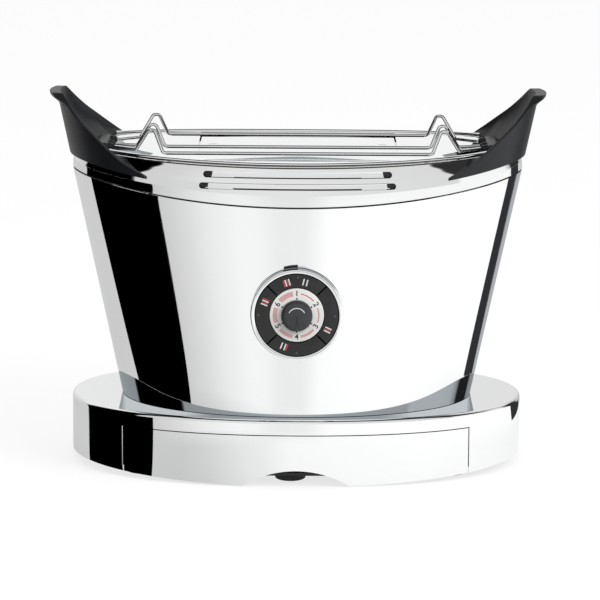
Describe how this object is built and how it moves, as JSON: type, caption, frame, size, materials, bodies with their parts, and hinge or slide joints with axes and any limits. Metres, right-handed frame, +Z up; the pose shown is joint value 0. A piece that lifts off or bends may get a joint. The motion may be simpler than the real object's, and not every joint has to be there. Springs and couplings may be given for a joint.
{
  "type": "toaster",
  "caption": "Wide oval chrome toaster with black wing handles, a wire warming rack over its bread slots, a round push-button control with a knob, and a crumb drawer in its base",
  "frame": {"origin": "on the worktop, under the middle of the toaster's bounding box", "axes": "+X to the right seen from the front, -Y towards the front with the control, +Z up"},
  "size_m": [0.3618, 0.222, 0.272],
  "materials": {
    "chrome": "mirror-polished chrome",
    "steel": "brushed stainless steel",
    "wire_steel": "polished stainless wire",
    "black_plastic": "satin black moulded plastic",
    "gloss_black": "glossy black plastic",
    "dark_grey": "dark grey satin plastic",
    "dial_cream": "cream printed disc",
    "rubber": "black rubber",
    "mica": "mica board with resistance wire",
    "board": "green circuit board"
  },
  "bodies": {
    "housing": {"base_shell": "chrome", "body_shell": "chrome", "top_cover": "chrome", "rim_band_front": "chrome", "rim_band_back": "chrome", "dial_bezel": "chrome", "base_plate": "black_plastic", "drawer_runner_left": "black_plastic", "drawer_runner_right": "black_plastic", "left_handle": "black_plastic", "right_handle": "black_plastic", "left_cradle": "black_plastic", "right_cradle": "black_plastic", "dial_carrier": "black_plastic", "cord_gland": "black_plastic", "foot_front_left": "rubber", "foot_front_right": "rubber", "foot_back_left": "rubber", "foot_back_right": "rubber", "foot_front_middle": "rubber", "seam_gasket": "rubber", "slot_deck": "steel", "chamber_front": "steel", "chamber_back": "steel", "chamber_end_left": "steel", "chamber_end_right": "steel", "bread_guard_front_outer": "steel", "bread_guard_front_inner": "steel", "bread_guard_back_inner": "steel", "bread_guard_back_outer": "steel", "bread_rest_front": "steel", "bread_rest_back": "steel", "timer_potentiometer": "steel", "board_bracket": "steel", "thermal_cutout": "steel", "vent_insert_front": "dark_grey", "vent_insert_back": "dark_grey", "power_relay": "gloss_black", "dial_face": "dial_cream", "heating_card_front": "mica", "heating_card_middle": "mica", "heating_card_back": "mica", "control_board": "board", "power_board": "board"},
    "drawer": {"drawer_front": "chrome", "drawer_frame": "black_plastic", "crumb_tray": "steel"},
    "rack": {"rack_wire_front": "wire_steel", "rack_wire_middle": "wire_steel", "rack_wire_back": "wire_steel", "rack_end_left": "black_plastic", "rack_end_right": "black_plastic"},
    "knob": {"knob": "dark_grey", "knob_shaft": "steel"},
    "button_top": {"button_top": "gloss_black"},
    "button_right": {"button_right": "gloss_black"},
    "button_bottom": {"button_bottom": "gloss_black"},
    "button_left": {"button_left": "gloss_black"}
  },
  "joints": [
    {"name": "drawer_slide", "type": "slide", "parent": "housing", "child": "drawer", "axis": [0, -1, 0], "range_m": [0, 0.1]},
    {"name": "rack_lift", "type": "slide", "parent": "housing", "child": "rack", "axis": [0, 0, 1], "range_m": [0, 0.06]},
    {"name": "knob_turn", "type": "hinge", "parent": "housing", "child": "knob", "pos_m": [0, -0.1045, 0.125], "axis": [0, 1, 0], "range_deg": [-180, 120]},
    {"name": "button_top_press", "type": "slide", "parent": "housing", "child": "button_top", "axis": [0, 1, 0], "range_m": [0, 0.0012], "stiffness_N_per_m": 400, "springref_m": -0.0005},
    {"name": "button_right_press", "type": "slide", "parent": "housing", "child": "button_right", "axis": [0, 1, 0], "range_m": [0, 0.0012], "stiffness_N_per_m": 400, "springref_m": -0.0005},
    {"name": "button_bottom_press", "type": "slide", "parent": "housing", "child": "button_bottom", "axis": [0, 1, 0], "range_m": [0, 0.0012], "stiffness_N_per_m": 400, "springref_m": -0.0005},
    {"name": "button_left_press", "type": "slide", "parent": "housing", "child": "button_left", "axis": [0, 1, 0], "range_m": [0, 0.0012], "stiffness_N_per_m": 400, "springref_m": -0.0005}
  ]
}
